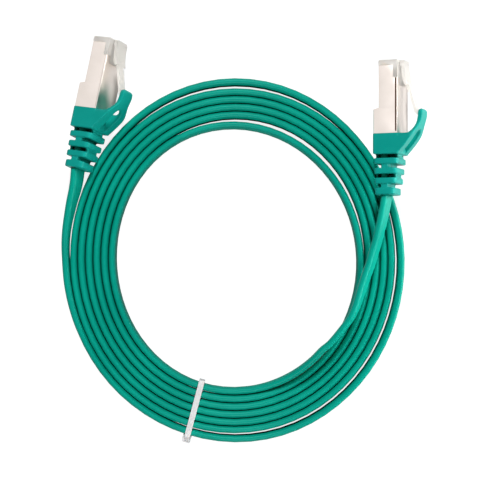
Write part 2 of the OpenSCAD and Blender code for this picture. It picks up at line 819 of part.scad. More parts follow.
module plug_shell_shape() {
    crimp_w = cable_w + 2*(fit + crimp_wall);
    crimp_h = cable_t + 2*(fit + crimp_wall);
    side_x = plug_w/2 - sheet_t;
    difference() {
        union() {
            across_x(plug_w) shell_side(0, shell_y);
            along_y(crimp_y, boot_y + sheet_t) translate([0, cable_z]) oblong(crimp_w, crimp_h);
            for (side = [-1, 1]) shell_dimple(side*plug_w/4);
        }
        across_x(plug_w - 2*sheet_t) shell_side(sheet_t, shell_y + past);
        along_y(crimp_y - past, boot_y + sheet_t + past) {
            translate([0, cable_z]) oblong(cable_w + 2*fit, cable_t + 2*fit);
        }
        translate([0, crimp_y - past, drain_back_z]) rotate([-90, 0, 0]) {
            cylinder(d = drain_d + 0.04, h = crimp_len + sheet_t + 2*past);
        }
        // Front of the latch-side plate, and the notch at the front of each side wall
        block([-side_x, notch_y, inner_z1], [side_x, shell_y + past, top_z + past]);
        for (side = [-1, 1]) {
            block([side*plug_w/2 - sheet_t - past, notch_y, top_z - notch_h],
                [side*plug_w/2 + sheet_t + past, shell_y + past, top_z + past]);
        }
        block([-plate_cut_w/2, notch_y - plate_cut_len, inner_z1],
            [plate_cut_w/2, shell_y, top_z + past]);
        // Folded edges of the latch-side plate
        for (side = [-1, 1]) {
            x = side*(side_x - seam_w/2);
            block([x - seam_w/2, boot_y + 2*sheet_t, inner_z1],
                [x + seam_w/2, shell_y, top_z + past]);
        }
        // Window over the contacts
        block([-window_w/2, window_y, face_z - past], [window_w/2, shell_y + past, inner_z0]);
    }
}

window_w = plug_w - 2*sheet_t - 1;

// Small pressed dimple that earths the shell in the jack
module shell_dimple(x) {
    y = step_y + 3.4;
    rise = 0.25;
    ball_r = (dimple_d*dimple_d/4 + rise*rise)/(2*rise);
    intersection() {
        translate([x, y, face_z - rise + ball_r]) sphere(ball_r, $fn = 48);
        block([x - dimple_d, y - dimple_d, face_z - 2*rise],
            [x + dimple_d, y + dimple_d, face_z + sheet_t/2]);
    }
}

module plug_housing_shape() {
    difference() {
        union() {
            block([-inner_w/2, housing_y, inner_z0], [inner_w/2, shell_y + fit, inner_z1]);
            across_x(plug_w) nose_side();
            housing_lands();
            latch_lip();
        }
        wire_channel();
        blade_slots();
        latch_pocket();
        cross_pin(latch_axis_y, latch_axis_z, latch_root_r + fit, catch_w + 2);
    }
}

// Side view of the part of the housing that stands out of the shell
module nose_side() {
    polygon([
        [shell_y + fit, face_z],
        [nose_y - nose_bevel, face_z],
        [nose_y, face_z + nose_bevel],
        [nose_y, top_z],
        [shell_y + fit, top_z]
    ]);
}

// Parts of the housing that fill the shell's window, notches and cut-out
module housing_lands() {
    block([-window_w/2 + fit, window_y + fit, face_z], [window_w/2 - fit, shell_y + past, row_z]);
    block([-plug_w/2, notch_y + fit, top_z - notch_h + fit], [plug_w/2, shell_y + past, top_z]);
    block([-plate_cut_w/2 + fit, notch_y - plate_cut_len + fit, row_z + 1.2],
        [plate_cut_w/2 - fit, shell_y, top_z]);
}

// Lip at the nose that carries the latch's root
module latch_lip() {
    block([-catch_w/2, latch_axis_y, top_z - past],
        [catch_w/2, nose_y, latch_axis_z + latch_root_r]);
}

// Funnel for the pairs, room for the load bar, and a slot for the row of wires
module wire_channel() {
    low = row_z - bar_h/2 - fit;
    high = row_z + bar_h/2 + fit;
    across_x(bar_w + 2*fit) polygon([
        [housing_y - past, high],
        [housing_y - past, inner_z0 - past],
        [housing_y + past, inner_z0 - past],
        [housing_y + funnel_len, low],
        [bar_y + fit, low],
        [bar_y + fit, high]
    ]);
    block([-row_w/2, bar_y, row_z - wire_d/2 - channel_gap],
        [row_w/2, channel_end_y, row_z + wire_d/2 + fit]);
}

module blade_slots() {
    for (place = [0:contact_count - 1]) {
        x = row_x(place);
        block([x - blade_t/2 - 0.04, blade_y - blade_len - fit, face_z - past],
            [x + blade_t/2 + 0.04, blade_y + fit, row_z]);
    }
}

// Shallow pocket that the catch sinks into when the latch is pressed
module latch_pocket() {
    block([-catch_w/2 - 0.2, notch_y - plate_cut_len + 2*fit, top_z - pocket_depth],
        [catch_w/2 + 0.2, latch_axis_y, top_z + past]);
}

// Latch: rounded root, wide catch, then a narrow lever that rises to the guard
module plug_latch_shape() {
    intersection() {
        across_x(catch_w) latch_side();
        translate([0, 0, top_z - 1]) linear_extrude(plug_h + guard_rise) latch_plan();
    }
}

module latch_side() {
    axis = [latch_axis_y, latch_axis_z];
    start = axis + [0, latch_root_r - 0.02];
    bend = [latch_bend_y, start[1] + (start[0] - latch_bend_y)*tan(catch_slope)];
    tip = [latch_tip_y, bend[1] + (bend[0] - latch_tip_y)*tan(lever_slope)];
    under = [for (p = [tip + [0.3, 0], bend, start]) p - [0, latch_t]];
    polygon(concat([start, bend, tip], [tip - [0.3, 0.5]], under));
    translate(axis) circle(latch_root_r);
}

// Plan of the latch, with square shoulders where the catch ends
module latch_plan() {
    past_y = nose_y + 1;
    translate([-catch_w/2, catch_y]) square([catch_w, past_y - catch_y]);
    translate([-lever_w/2, latch_tip_y - 1]) square([lever_w, past_y - latch_tip_y]);
}

// Load bar: a block with one hole for each wire
module load_bar_shape() {
    hole_d = wire_d + 0.05;
    difference() {
        block([-bar_w/2, bar_y - bar_len, bar_z0], [bar_w/2, bar_y, bar_z0 + bar_h]);
        for (place = [0:contact_count - 1]) {
            translate([row_x(place), bar_y - bar_len - past, row_z]) rotate([-90, 0, 0]) {
                cylinder(d = hole_d, h = bar_len + 2*past);
            }
        }
    }
}

// Eight contact blades, each with two teeth that bite through the insulation to the core
module contacts_shape() {
    outer = face_z + blade_recess;
    shoulder = row_z - wire_d/2 - 0.1;
    bite = row_z - core_d/2;
    tooth = 0.35;
    y1 = blade_y;
    y0 = blade_y - blade_len;
    for (place = [0:contact_count - 1]) {
        translate([row_x(place), 0, 0]) across_x(blade_t) polygon([
            [y0, outer],
            [y1, outer],
            [y1, shoulder],
            [y1 - tooth, bite],
            [y1 - 2*tooth, bite],
            [y1 - 3*tooth, shoulder],
            [y0 + 3*tooth, shoulder],
            [y0 + 2*tooth, bite],
            [y0 + tooth, bite],
            [y0, shoulder]
        ]);
    }
}

// ---------------------------------------------------------------- nodes

module left_boot() { color(teal) on_left() boot_shape(); }
module left_boot_guard() { color(teal) on_left() guard_shape(); }
module left_jacket_end() { color(teal) on_left() jacket_end_shape(); }
module left_pair_foils() { color(foil) on_left() pair_foils_shape(); }
module left_orange_wires() { color("orange") on_left() orange_wires_shape(); }
module left_green_wires() { color("green") on_left() green_wires_shape(); }
module left_blue_wires() { color("royalblue") on_left() blue_wires_shape(); }
module left_brown_wires() { color("saddlebrown") on_left() brown_wires_shape(); }
module left_copper_cores() { color(copper) on_left() copper_cores_shape(); }
module left_drain_wire() { color(copper) on_left() drain_wire_shape(); }
module left_load_bar() { color(clear) on_left() load_bar_shape(); }
module left_contacts() { color(gold) on_left() contacts_shape(); }
module left_plug_housing() { color(clear) on_left() plug_housing_shape(); }
module left_plug_latch() { color(clear) on_left() plug_latch_shape(); }
module left_plug_shell() { color(steel) on_left() plug_shell_shape(); }

module right_boot() { color(teal) on_right() boot_shape(); }
module right_boot_guard() { color(teal) on_right() guard_shape(); }
module right_jacket_end() { color(teal) on_right() jacket_end_shape(); }
module right_pair_foils() { color(foil) on_right() pair_foils_shape(); }
module right_orange_wires() { color("orange") on_right() orange_wires_shape(); }
module right_green_wires() { color("green") on_right() green_wires_shape(); }
module right_blue_wires() { color("royalblue") on_right() blue_wires_shape(); }
module right_brown_wires() { color("saddlebrown") on_right() brown_wires_shape(); }
module right_copper_cores() { color(copper) on_right() copper_cores_shape(); }
module right_drain_wire() { color(copper) on_right() drain_wire_shape(); }
module right_load_bar() { color(clear) on_right() load_bar_shape(); }
module right_contacts() { color(gold) on_right() contacts_shape(); }
module right_plug_housing() { color(clear) on_right() plug_housing_shape(); }
module right_plug_latch() { color(clear) on_right() plug_latch_shape(); }
module right_plug_shell() { color(steel) on_right() plug_shell_shape(); }

cable_coil();
left_cable_tail();
right_cable_tail();
cable_tie();
left_boot();
left_boot_guard();
left_jacket_end();
left_pair_foils();
left_orange_wires();
left_green_wires();
left_blue_wires();
left_brown_wires();
left_copper_cores();
left_drain_wire();
left_load_bar();
left_contacts();
left_plug_housing();
left_plug_latch();
left_plug_shell();
right_boot();
right_boot_guard();
right_jacket_end();
right_pair_foils();
right_orange_wires();
right_green_wires();
right_blue_wires();
right_brown_wires();
right_copper_cores();
right_drain_wire();
right_load_bar();
right_contacts();
right_plug_housing();
right_plug_latch();
right_plug_shell();
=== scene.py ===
"""Flat shielded Ethernet patch cable, coiled on edge and held by a tie, with a boot and a plug
at each end.

Sizes are in millimetres and angles in degrees. Each plug is modelled in its own frame, as the CAD
draws it: +y runs from the boot's end face to the nose, x across the plug's width, and +z out of
its latch side.
"""

import json
import math

import bpy
from mathutils import Matrix, Vector


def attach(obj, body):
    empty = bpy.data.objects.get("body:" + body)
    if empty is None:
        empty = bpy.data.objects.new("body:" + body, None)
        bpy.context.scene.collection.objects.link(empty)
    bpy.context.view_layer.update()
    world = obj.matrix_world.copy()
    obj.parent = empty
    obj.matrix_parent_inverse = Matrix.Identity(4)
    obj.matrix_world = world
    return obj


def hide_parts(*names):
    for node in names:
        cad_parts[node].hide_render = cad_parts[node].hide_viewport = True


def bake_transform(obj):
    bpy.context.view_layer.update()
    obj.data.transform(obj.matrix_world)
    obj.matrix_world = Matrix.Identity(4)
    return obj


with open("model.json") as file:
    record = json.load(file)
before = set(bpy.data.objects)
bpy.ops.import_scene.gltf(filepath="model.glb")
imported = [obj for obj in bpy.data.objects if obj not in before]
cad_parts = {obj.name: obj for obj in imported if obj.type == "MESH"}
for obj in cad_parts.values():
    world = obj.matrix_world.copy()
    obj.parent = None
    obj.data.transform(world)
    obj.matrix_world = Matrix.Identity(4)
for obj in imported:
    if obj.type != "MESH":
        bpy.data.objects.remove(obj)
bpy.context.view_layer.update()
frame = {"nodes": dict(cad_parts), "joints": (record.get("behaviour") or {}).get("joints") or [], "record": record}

MM = 0.001
SIDES = ("left", "right")

# Cable: its edges are oval, and each pair raises a faint rib on both faces
CABLE_W = 7.2
CABLE_T = 2.3
EDGE_DEPTH = 1.55
EDGE_STEP = 20
FACE_STEPS = 12
PAIRS = 4
RIB_RISE = 0.05

# Coil, as the CAD winds it. Its turned angles count from COIL_FROM
COIL_X = -3.3
COIL_Y = -6.7
COIL_R = 58.8
COIL_OVAL = 2.0
COIL_PITCH = 2.6
COIL_FROM = 165
COIL_START = 45
COIL_END = 2265
COIL_STEP = 5

# Bows of single turns, as (height, turned angle, reach)
COIL_BOWS = [(0.7, 130, 60), (0.8, 285, 60), (0.6, 185, 55), (-1.1, 2055, 75)]

# Outward lean of the turns' tops, and how it fades at the coil's ends and beside the tie
COIL_LEAN = 3
LEAN_FADE = 60
TIE_FADE = 35

# Cable tie
TIE_ANGLE = 255
STRAP_T = 0.9
TIE_REACH = 6.0

# Lay of each plug's cable exit: how far the latch side tips up
TIP = {"left": 27, "right": 21.5}

# Stations and levels in a plug's own frame
RELIEF_LEN = 13.4
BOOT_Y = 20.2
STEP_Y = 28.7
SHELL_Y = 42.7
PLUG_W = 11.7
TOP_Z = 4.2
REAR_Z = -4.2
FACE_Z = -2.3
CABLE_Z = -1.3
SHEET_T = 0.3

# Boot body
BOOT_PROUD = 0.2
BOOT_TOP = TOP_Z + BOOT_PROUD
BOOT_HALF = PLUG_W / 2 + BOOT_PROUD
BODY_CORNER = 0.7
BODY_EDGE = 0.15
BORE_ROOM = 0.1
BORE_PAST = 1
CRIMP_ROOM = 1.2
CRIMP_ROOM_Y = 14.1

# Strain relief: widths and heights of its rings run from the end face to the body
RING_LEN = 1.9
RING_GAP = 1.35
END_RING_LEN = 2.3
RING_COUNT = 3
END_RING = (9.2, 6.8)
ROOT_RING = (11.4, 8.4)
RING_CORNER = 1.5
RING_RAISED = 0.1
RING_EDGE = 0.15
END_RING_EDGE = 0.2
WEB_W = 2.3
FACE_WEB_W = 6.4
MID_WEB_W = 0.8
WEB_T = 0.8
WEB_INSET = 0.3
WEB_SUNK = 0.4

# Latch guard
GUARD_AXIS = Vector((0, 17.5, 5.7))
GUARD_PLAN_Y = 13
GUARD_REAR_Y = 13.9
GUARD_END_Y = 28.4
GUARD_ROOT_Z = 2.6
GUARD_BACK_Z = 12.0
GUARD_W = 2 * BOOT_HALF
GUARD_TIP_W = 6.4
GUARD_TIP_CORNER = 1.4
GUARD_T = 1.6
GUARD_SLOT_X = 0.4
GUARD_SLOT_W = 4.0
GUARD_SLOT_END_Y = 21.5
GUARD_SLOT_DEPTH = 2.4
ABOVE_GUARD = 16

# The guard draws in from its root's width to its tip's, from this far behind the body's front
TAPER_LEAD = 1.6
TAPER_LEN = 5.6

# Grain of the meshes that are rebuilt, and how often their creases are smoothed
GUARD_GRAIN = 0.2
GUARD_PASSES = 14
BOOT_GRAIN = 0.16
BOOT_PASSES = 4

# Plug shell
STEP_RUN = 0.5
FOLD_R = 0.45
INSIDE_FOLD = 0.8
CUT_R = 0.1
CRIMP_Y = 14.2
CRIMP_WALL = 0.45
CRIMP_LAP = 0.1
NOTCH_Y = 38.6
NOTCH_H = 1.5
PLATE_CUT_Y = 36.3
PLATE_CUT_W = 6.8
SEAM_W = {"left": 0.12, "right": 0.5}
# Dark strips behind both seams, which paint the shade of the seam gaps: their thickness and clearances
SHADE_STRIP_T = 0.04
SHADE_STRIP_GAP_Y = 0.1
SHADE_STRIP_GAP_Z = 0.02
WINDOW_Y = 36.4
DIMPLE_Y = 32.1
DIMPLE_R = 0.6
DIMPLE_RISE = 0.25
SHEET_PAST = 0.5
SHEET_EDGE = 0.05

# ------------------------------------------------------------------ materials


def srgb(code):
    """Linear colour of an sRGB hex value."""
    parts = [int(code[i : i + 2], 16) / 255 for i in (1, 3, 5)]
    return (*[p / 12.92 if p <= 0.04045 else ((p + 0.055) / 1.055) ** 2.4 for p in parts], 1)


def node(tree, kind, inputs=None, **settings):
    """Adds a node. An input's value is a number, a colour or another node's output."""
    made = tree.nodes.new(kind)
    for name, value in settings.items():
        setattr(made, name, value)
    for name, value in (inputs or {}).items():
        if isinstance(value, bpy.types.NodeSocket):
            tree.links.new(value, made.inputs[name])
        else:
            made.inputs[name].default_value = value
    return made


def new_material(name):
    """An empty material: its node tree and its object-space coordinates in metres."""
    material = bpy.data.materials.new(name)
    material.use_nodes = True
    tree = material.node_tree
    tree.nodes.clear()
    where = node(tree, "ShaderNodeTexCoord").outputs["Object"]
    return material, tree, where


def finish_material(material, tree, surface):
    """Puts a surface on a material."""
    node(tree, "ShaderNodeOutputMaterial", {"Surface": surface})
    return material


def principled(material, tree, inputs):
    """Finishes a material with a principled shader."""
    shader = node(tree, "ShaderNodeBsdfPrincipled", inputs)
    return finish_material(material, tree, shader.outputs["BSDF"])


def per_mm(size):
    """Texture scale for features of this size in millimetres."""
    return 1 / (size * MM)


def noise(tree, where, size, detail):
    """A cloudy pattern with features of this size in millimetres."""
    made = node(tree, "ShaderNodeTexNoise",
                {"Vector": where, "Scale": per_mm(size), "Detail": detail})
    return made.outputs["Fac"]


def spread(tree, pattern, low, high):
    """Runs a pattern from one number to another."""
    made = node(tree, "ShaderNodeMapRange", {"Value": pattern, "To Min": low, "To Max": high})
    return made.outputs["Result"]


def grained(tree, pattern, strength, depth):
    """Normal of a skin that a pattern raises by up to this depth in millimetres."""
    made = node(tree, "ShaderNodeBump",
                {"Height": pattern, "Strength": strength, "Distance": depth * MM})
    return made.outputs["Normal"]


def tint(tree, pattern, dark, light, low=0.3, high=0.7):
    """Runs a pattern from one colour to another."""
    ramp = node(tree, "ShaderNodeValToRGB", {"Fac": pattern})
    ramp.color_ramp.elements[0].position = low
    ramp.color_ramp.elements[0].color = srgb(dark)
    ramp.color_ramp.elements[1].position = high
    ramp.color_ramp.elements[1].color = srgb(light)
    return ramp.outputs["Color"]


# Soft PVC has a weak shine that takes on some of its green
PVC = {"IOR": 1.53, "Specular IOR Level": 0.15, "Specular Tint": srgb("#A0F4E6")}
POLYETHYLENE = {"Roughness": 0.4, "IOR": 1.51}


def extruded_pvc():
    """Flexible PVC jacket, extruded: an even satin skin with faint drag and handling marks."""
    material, tree, where = new_material("extruded_pvc")
    marks = noise(tree, where, size=14, detail=3)
    return principled(material, tree, {
        "Base Color": tint(tree, marks, "#039985", "#06A590"),
        "Roughness": spread(tree, marks, 0.34, 0.44),
        "Normal": grained(tree, noise(tree, where, size=0.35, detail=4), strength=0.25, depth=0.02),
        **PVC,
    })


def moulded_pvc():
    """Soft PVC, injection moulded in a lightly spark-eroded tool: a closed skin with a fine
    grain and a slightly wet shine."""
    material, tree, where = new_material("moulded_pvc")
    marks = noise(tree, where, size=9, detail=2)
    return principled(material, tree, {
        "Base Color": tint(tree, marks, "#0A988C", "#12A296"),
        "Roughness": spread(tree, marks, 0.3, 0.4),
        "Normal": grained(tree, noise(tree, where, size=0.22, detail=3), strength=0.3, depth=0.02),
        **PVC,
    })


def nickel_plated_brass():
    """Brass strip, rolled, folded and nickel plated: a warm satin grey with rolling lines along
    the strip and brighter handled spots."""
    material, tree, where = new_material("nickel_plated_brass")
    stretched = node(tree, "ShaderNodeMapping", {"Vector": where, "Scale": (1.0, 0.04, 1.0)})
    rolling = noise(tree, stretched.outputs["Vector"], size=0.16, detail=4)
    handled = noise(tree, where, size=5, detail=3)
    return principled(material, tree, {
        "Base Color": tint(tree, handled, "#E4DAD2", "#E9DFD8"),
        "Metallic": 1.0,
        "Roughness": spread(tree, handled, 0.24, 0.36),
        "Normal": grained(tree, rolling, strength=0.2, depth=0.006),
    })


def clear_polycarbonate():
    """Polycarbonate, injection moulded: clear but a little milky, with a faint flow ripple."""
    material, tree, where = new_material("clear_polycarbonate")
    return principled(material, tree, {
        "Base Color": srgb("#FBF8F3"),
        "Transmission Weight": 0.65,
        "Roughness": 0.3,
        "IOR": 1.585,
        "Normal": grained(tree, noise(tree, where, size=3, detail=1), strength=0.1, depth=0.02),
    })


def natural_nylon():
    """Natural nylon 66, moulded: milky, with light spread inside it and a waxy shine."""
    material, tree, where = new_material("natural_nylon")
    cloud = noise(tree, where, size=2, detail=2)
    return principled(material, tree, {
        "Base Color": tint(tree, cloud, "#F6F1F3", "#FCFCFB"),
        "Roughness": 0.42,
        "IOR": 1.53,
        "Subsurface Weight": 0.5,
        "Subsurface Radius": (1.0 * MM, 0.9 * MM, 0.85 * MM),
        "Subsurface Scale": 0.8,
        "Transmission Weight": 0.12,
        "Normal": grained(tree, cloud, strength=0.2, depth=0.02),
    })


def polyethylene(name, dark, light):
    """Coloured polyethylene insulation, extruded: smooth, slightly waxy."""
    material, tree, where = new_material(name)
    colour = tint(tree, noise(tree, where, size=0.6, detail=2), dark, light)
    return principled(material, tree, {"Base Color": colour, **POLYETHYLENE})


def striped_polyethylene(name, stripe):
    """White polyethylene insulation with a coloured ring about every 16 mm."""
    material, tree, where = new_material(name)
    bands = node(tree, "ShaderNodeTexWave",
                 {"Vector": where, "Scale": per_mm(50), "Distortion": 0.6}, bands_direction="Y")
    colour = tint(tree, bands.outputs["Fac"], "#F2F0EC", stripe, 0.62, 0.7)
    return principled(material, tree, {"Base Color": colour, **POLYETHYLENE})


def bright_metal(name, dark, light, roughness):
    """Bare or plated metal, drawn, stamped or cut, with a slight grain."""
    material, tree, where = new_material(name)
    grain = noise(tree, where, size=0.3, detail=3)
    return principled(material, tree, {
        "Base Color": tint(tree, grain, dark, light),
        "Metallic": 1.0,
        "Roughness": spread(tree, grain, roughness - 0.04, roughness + 0.06),
    })


MATERIALS = {
    "cable_jacket": extruded_pvc(),
    "boot_plastic": moulded_pvc(),
    "shell_metal": nickel_plated_brass(),
    "clear_plastic": clear_polycarbonate(),
    "tie_nylon": natural_nylon(),
    "gold_plate": bright_metal("gold_on_bronze", "#E0B050", "#F2C968", 0.2),
    "copper": bright_metal("bare_copper", "#D08A5C", "#E39C6E", 0.22),
    "tinned_copper": bright_metal("tinned_copper", "#C9C4BC", "#DAD6CF", 0.28),
    "pair_foil": bright_metal("aluminium_foil", "#D4D6DA", "#E4E6E8", 0.25),
    "orange_insulation": polyethylene("orange_polyethylene", "#D9731A", "#E8842A"),
    "green_insulation": polyethylene("green_polyethylene", "#1C7A34", "#2A8C42"),
    "blue_insulation": polyethylene("blue_polyethylene", "#2148A8", "#2C57BC"),
    "brown_insulation": polyethylene("brown_polyethylene", "#5C3318", "#6E4022"),
}

# Dull dark brown, as of unplated cut brass, on the strips behind the seams: painted shade of the seam gaps
SEAM_SHADE_BROWN = bright_metal("painted_seam_shade_brass", "#3E281C", "#563828", 0.5)

# The white wire of each pair
MATE_STRIPES = {
    "orange": striped_polyethylene("orange_striped_polyethylene", "#E0791E"),
    "green": striped_polyethylene("green_striped_polyethylene", "#1E7F38"),
    "blue": striped_polyethylene("blue_striped_polyethylene", "#244DB0"),
    "brown": striped_polyethylene("brown_striped_polyethylene", "#623A1C"),
}

# ------------------------------------------------------------------ meshes

# A solid is its points and its faces. Places move its points from millimetres as drawn
AS_DRAWN = Matrix.Identity(4)
IN_METRES = Matrix.Scale(MM, 4)


def mesh_object(name, solid, place):
    """A mesh object of a solid, moved to its place."""
    points, faces = solid
    mesh = bpy.data.meshes.new(name)
    mesh.from_pydata([place @ Vector(p) for p in points], [], faces)
    mesh.validate()
    made = bpy.data.objects.new(name, mesh)
    bpy.context.scene.collection.objects.link(made)
    return made


def taken_apart(made):
    """The solid of a mesh object, which is removed."""
    points = [tuple(v.co) for v in made.data.vertices]
    faces = [tuple(polygon.vertices) for polygon in made.data.polygons]
    bpy.data.objects.remove(made)
    return points, faces


def skin(rings):
    """A tube through rings of equal length, with its ends capped."""
    count = len(rings[0])
    points = [p for ring in rings for p in ring]
    faces = []
    for i in range(len(rings) - 1):
        for j in range(count):
            a, b = i * count + j, i * count + (j + 1) % count
            faces.append((a, b, b + count, a + count))
    faces.append(tuple(range(count - 1, -1, -1)))
    faces.append(tuple(range(len(points) - count, len(points))))
    return points, faces


def together(*solids):
    """Several solids as one."""
    points, faces = [], []
    for more_points, more_faces in solids:
        first = len(points)
        points += more_points
        faces += [tuple(first + i for i in face) for face in more_faces]
    return points, faces


def arcs(corners, steps):
    """Outline round four corners, as (x, z, radius) from the top right one to the left."""
    points = []
    for quarter, (x, z, r) in enumerate(corners):
        for i in range(steps + 1):
            a = math.radians(90 * (quarter + i / steps))
            points.append((x + r * math.cos(a), z + r * math.sin(a)))
    return points


def round_rect(low, high, r, steps=4):
    """Corner-rounded rectangle, as (x, z) points in order."""
    return arcs([(high[0] - r, high[1] - r, r), (low[0] + r, high[1] - r, r),
                 (low[0] + r, low[1] + r, r), (high[0] - r, low[1] + r, r)], steps)


def along_y(stations):
    """A solid through (y, outline) stations. Outlines are (x, z) points."""
    return skin([[(x, y, z) for x, z in outline] for y, outline in reversed(stations)])


def across_x(outline, x0, x1):
    """An outline of (y, z) points drawn out along x."""
    return skin([[(x, y, z) for y, z in outline] for x in (x0, x1)])


def up_z(outline, z0, z1):
    """An outline of (x, y) points drawn out along z."""
    return skin([[(x, y, z) for x, y in outline] for z in (z0, z1)])


def block(low, high):
    """A box between two corners."""
    outline = [(low[0], low[1]), (high[0], low[1]), (high[0], high[1]), (low[0], high[1])]
    return up_z(outline, low[2], high[2])


def curve(points, steps):
    """Points of a cubic curve with four control points."""
    made = []
    for i in range(steps + 1):
        t = i / steps
        weights = ((1 - t) ** 3, 3 * t * (1 - t) ** 2, 3 * t * t * (1 - t), t**3)
        made.append(tuple(sum(w * p[k] for w, p in zip(weights, points)) for k in range(2)))
    return made


def on_circle(centre, r, angle):
    """A point on a circle."""
    a = math.radians(angle)
    return centre[0] + r * math.cos(a), centre[1] + r * math.sin(a)


def shade_smooth(made, angle=None):
    """Smooth shading, with edges above the angle kept sharp."""
    made.data.shade_smooth()
    if angle is not None:
        made.data.set_sharp_from_angle(angle=math.radians(angle))


def bake_modifiers(made):
    """Puts what the modifiers make into the mesh."""
    bpy.context.view_layer.update()
    graph = bpy.context.evaluated_depsgraph_get()
    mesh = bpy.data.meshes.new_from_object(made.evaluated_get(graph))
    made.modifiers.clear()
    made.data = mesh


def combine(made, operation, solid):
    """Changes a mesh object by a solid, both in plug millimetres."""
    other = mesh_object("other", solid, AS_DRAWN)
    step = made.modifiers.new("combine", "BOOLEAN")
    step.operation = operation
    step.solver = "EXACT"
    step.object = other
    bake_modifiers(made)
    bpy.data.objects.remove(other)


def cut(made, *solids):
    """Takes solids away from a mesh object."""
    for solid in solids:
        combine(made, "DIFFERENCE", solid)


def remesh(made, grain, passes):
    """Rebuilds a mesh object with an even grain in its own units, then smooths its creases."""
    step = made.modifiers.new("remesh", "REMESH")
    step.mode = "VOXEL"
    step.voxel_size = grain
    if passes:
        soften = made.modifiers.new("soften", "SMOOTH")
        soften.factor = 0.5
        soften.iterations = passes
    bake_modifiers(made)


def break_edges(made, width, angle):
    """Breaks the edges above an angle, by a width in the object's own units."""
    step = made.modifiers.new("broken_edges", "BEVEL")
    step.width = width
    step.segments = 2
    step.limit_method = "ANGLE"
    step.angle_limit = math.radians(angle)
    return step


def dress(made, slot, body, *nodes):
    """Gives a piece its material, the CAD nodes it stands for and, if one is given, the body it rides on."""
    made.data.materials.clear()
    made.data.materials.append(MATERIALS[slot])
    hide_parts(*nodes)
    if body:
        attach(made, body)


# ------------------------------------------------------------------ plug frames

joints = {joint["name"]: joint for joint in frame["joints"]}
mounts = {mount["name"]: mount for mount in frame["record"]["mounts"]}


def plug_frame(side):
    """The matrix from a plug's own frame, in millimetres, to the shared frame in metres."""
    hinge = joints[f"{side}_guard_press"]
    x = -Vector(hinge["axis"]).normalized()
    y = Vector(mounts[f"{side}_plug_slide"]["axis"]).normalized()
    z = x.cross(y)
    turn = Matrix((x, y, z)).transposed()
    origin = Vector(hinge["pos_m"]) - turn @ (GUARD_AXIS * MM)
    return Matrix.Translation(origin) @ turn.to_4x4() @ Matrix.Scale(MM, 4)


PLUG = {side: plug_frame(side) for side in SIDES}

# ------------------------------------------------------------------ camera and light

CAMERA_AT = (1.85, -3.69, 700)
LENS = 148.65
SENSOR_W = 36

# Lamps that face the coil, as (name, place, width and height, power), in metres and watts
LAMPS = [
    ("back_light", (0.0, 0.8, 0.8), (0.15, 0.4), 9.0),
    ("front_light", (0.0, -0.8, 0.8), (0.15, 0.4), 7.0),
    ("right_light", (0.45, 0.05, 0.03), (0.4, 0.05), 2.6),
]
AMBIENT = 0.02

# The board under the coil, and how far off and how strongly it is mirrored
BOARD_REACH = 3000
BOARD_DROP = 0.02
BOARD_GREY = "#909090"
BOARD_GLOW = 0.9
MIRROR_FROM = 12
MIRROR_SHARE = 0.7

WHITE = (1, 1, 1, 1)


def make_camera():
    """Straight above the coil, with +y up the picture."""
    data = bpy.data.cameras.new("camera")
    data.lens = LENS
    data.sensor_width = SENSOR_W
    data.clip_start = 0.01
    data.clip_end = 20
    camera = bpy.data.objects.new("camera", data)
    camera.location = Vector(CAMERA_AT) * MM
    bpy.context.scene.collection.objects.link(camera)
    bpy.context.scene.camera = camera


def soft_box(name, at, size, power):
    """A lamp this wide and high that faces the coil."""
    data = bpy.data.lights.new(name, "AREA")
    data.shape = "RECTANGLE"
    data.size, data.size_y = size
    data.energy = power
    lamp = bpy.data.objects.new(name, data)
    lamp.location = at
    lamp.rotation_euler = Vector(at).to_track_quat("Z", "Y").to_euler()
    bpy.context.scene.collection.objects.link(lamp)


def shown_white(tree, mirror_from=0.0, mirror_share=1.0):
    """1 for a ray from the camera or from a clear body, this share for one from a mirror at least
    this far off in millimetres, and 0 for light that spreads."""
    path = node(tree, "ShaderNodeLightPath").outputs

    def math_node(operation, a, b):
        return node(tree, "ShaderNodeMath", {0: a, 1: b}, operation=operation).outputs[0]

    far = math_node("GREATER_THAN", path["Ray Length"], mirror_from * MM)
    mirrored = math_node("MULTIPLY", path["Is Glossy Ray"], far)
    mirrored = math_node("MULTIPLY", mirrored, mirror_share)
    shown = math_node("MAXIMUM", path["Is Camera Ray"], mirrored)
    return math_node("MAXIMUM", shown, path["Is Transmission Ray"])


def make_light():
    """A white studio: the surroundings show white. Two lamps over the coil's far and near sides
    give most light, and a low one at the right draws the turns' edges."""
    world = bpy.data.worlds.new("studio")
    bpy.context.scene.world = world
    world.use_nodes = True
    tree = world.node_tree
    tree.nodes.clear()
    around = spread(tree, shown_white(tree), AMBIENT, 1.0)
    lit = node(tree, "ShaderNodeBackground", {"Color": WHITE, "Strength": around})
    node(tree, "ShaderNodeOutputWorld", {"Surface": lit.outputs[0]})
    for lamp in LAMPS:
        soft_box(*lamp)


def white_board():
    """Matt board: it shows white with the object's soft shadow, throws little light up, and
    isn't mirrored in the narrow gaps between the turns."""
    material, tree, _ = new_material("white_board")
    matt = node(tree, "ShaderNodeBsdfDiffuse", {"Color": srgb(BOARD_GREY)}).outputs[0]
    lit = node(tree, "ShaderNodeEmission", {"Color": WHITE, "Strength": BOARD_GLOW}).outputs[0]
    both = node(tree, "ShaderNodeAddShader", {0: matt, 1: lit}).outputs[0]
    shown = shown_white(tree, MIRROR_FROM, MIRROR_SHARE)
    mixed = node(tree, "ShaderNodeMixShader", {0: shown, 1: matt, 2: both})
    return finish_material(material, tree, mixed.outputs[0])


def make_floor():
    """The board, just clear of the coil's lower edges."""
    reach = BOARD_REACH
    corners = [(-reach, -reach, 0), (reach, -reach, 0), (reach, reach, 0), (-reach, reach, 0)]
    floor = mesh_object("floor", (corners, [(0, 1, 2, 3)]), IN_METRES)
    floor.location.z = -BOARD_DROP * MM
    floor.data.materials.append(white_board())


make_camera()
make_light()
make_floor()
bpy.context.scene.view_settings.view_transform = "Standard"

